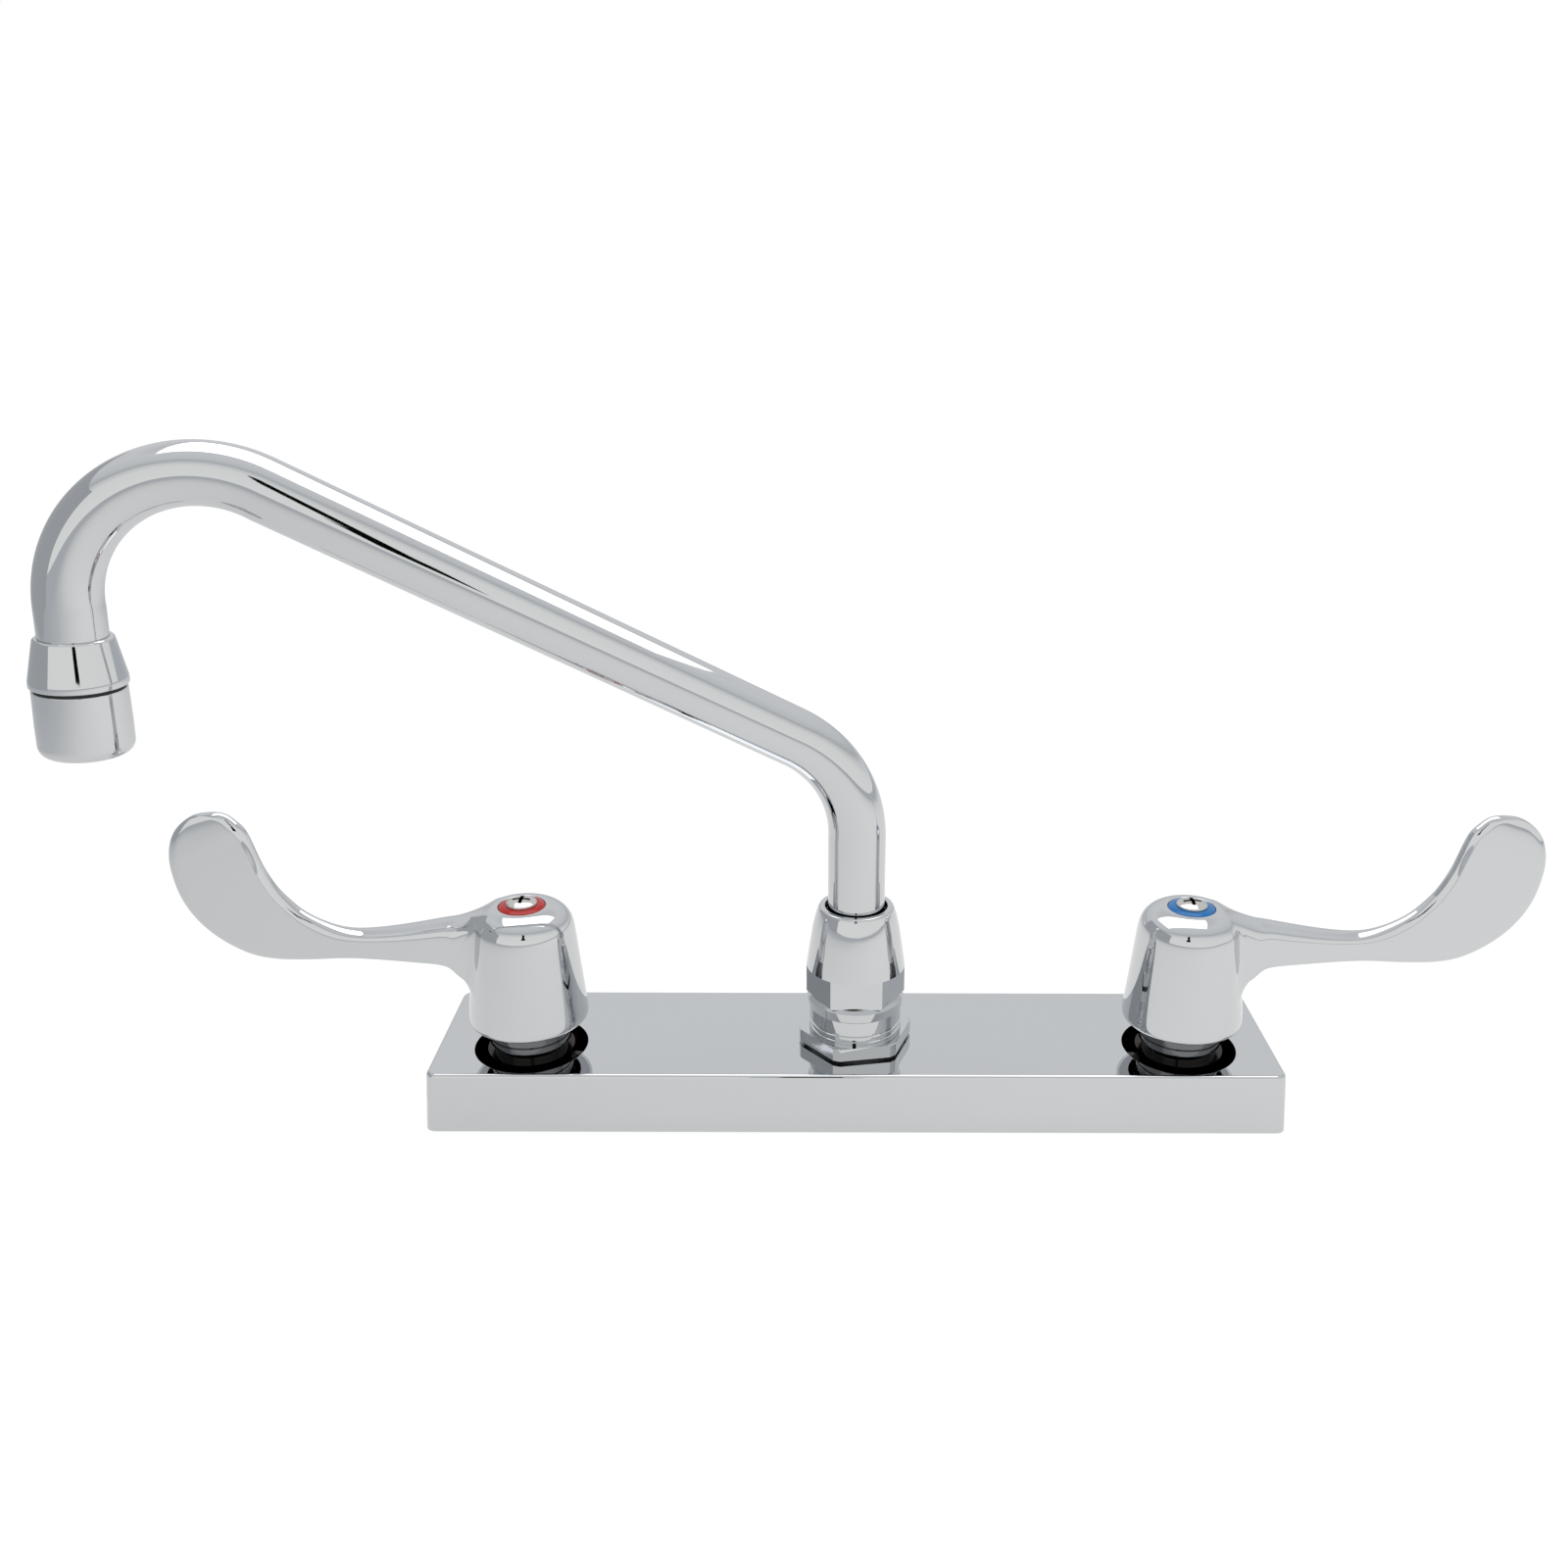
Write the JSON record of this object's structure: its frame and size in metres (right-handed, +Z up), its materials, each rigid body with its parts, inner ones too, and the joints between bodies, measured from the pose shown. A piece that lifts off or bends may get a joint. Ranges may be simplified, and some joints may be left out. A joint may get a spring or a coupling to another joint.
{
  "type": "deck mount swing spout faucet",
  "caption": "Deck mount kitchen faucet on a long rectangular cover plate, with wrist blade handles either side of a swinging tube spout that ends in an aerator",
  "frame": {"origin": "On the deck surface under the middle of the cover plate, on the underside of the base gasket", "axes": "+Z up, away from the deck; the user stands at -Y; +X runs along the cover plate towards the cold handle, with the hot handle at -X"},
  "size_m": [0.4274, 0.077, 0.2646],
  "materials": {
    "chrome_plating": "polished chrome plate",
    "black_rubber": "smooth black rubber",
    "plain_brass": "machined brass",
    "copper_tube": null,
    "ceramic": null,
    "nylon": "natural nylon",
    "steel": "plain stainless steel",
    "red_index": "glossy red plastic",
    "blue_index": "glossy blue plastic"
  },
  "bodies": {
    "base": {"cover_plate": "chrome_plating", "base_gasket": "black_rubber", "centre_body": "chrome_plating", "spout_locknut": "chrome_plating", "locknut_gasket": "black_rubber", "swivel_nut": "chrome_plating", "bearing_washer": "nylon", "thrust_ring": "nylon", "hot_cross_tube": "copper_tube", "hot_valve_body": "plain_brass", "hot_bonnet": "chrome_plating", "hot_cartridge_shell": "plain_brass", "hot_seat_seal": "black_rubber", "hot_fixed_disc": "ceramic", "hot_bonnet_oring": "black_rubber", "hot_stem_washer": "nylon", "hot_deck_washer": "black_rubber", "hot_friction_washer": "steel", "hot_mounting_nut": "plain_brass", "cold_cross_tube": "copper_tube", "cold_valve_body": "plain_brass", "cold_bonnet": "chrome_plating", "cold_cartridge_shell": "plain_brass", "cold_seat_seal": "black_rubber", "cold_fixed_disc": "ceramic", "cold_bonnet_oring": "black_rubber", "cold_stem_washer": "nylon", "cold_deck_washer": "black_rubber", "cold_friction_washer": "steel", "cold_mounting_nut": "plain_brass"},
    "spout": {"spout_tube": "chrome_plating", "spout_sleeve": "plain_brass", "upper_spout_oring": "black_rubber", "lower_spout_oring": "black_rubber", "aerator_collar": "chrome_plating", "aerator_ring": "black_rubber", "aerator_housing": "chrome_plating", "aerator_washer": "black_rubber", "aerator_insert": "nylon", "aerator_screen": "steel"},
    "hot_lever": {"hot_handle": "chrome_plating", "hot_index_ring": "red_index", "hot_handle_screw": "steel", "hot_stem": "plain_brass", "hot_moving_disc": "ceramic", "hot_stem_oring": "black_rubber"},
    "cold_lever": {"cold_handle": "chrome_plating", "cold_index_ring": "blue_index", "cold_handle_screw": "steel", "cold_stem": "plain_brass", "cold_moving_disc": "ceramic", "cold_stem_oring": "black_rubber"}
  },
  "joints": [
    {"name": "spout_swivel", "type": "hinge", "parent": "base", "child": "spout", "pos_m": [0, -0.003, 0], "axis": [0, 0, 1], "continuous": true},
    {"name": "hot_handle_turn", "type": "hinge", "parent": "base", "child": "hot_lever", "pos_m": [-0.1016, -0.008, 0], "axis": [0, 0, 1], "range_deg": [0, 90]},
    {"name": "cold_handle_turn", "type": "hinge", "parent": "base", "child": "cold_lever", "pos_m": [0.1016, -0.008, 0], "axis": [0, 0, 1], "range_deg": [-90, 0]}
  ]
}
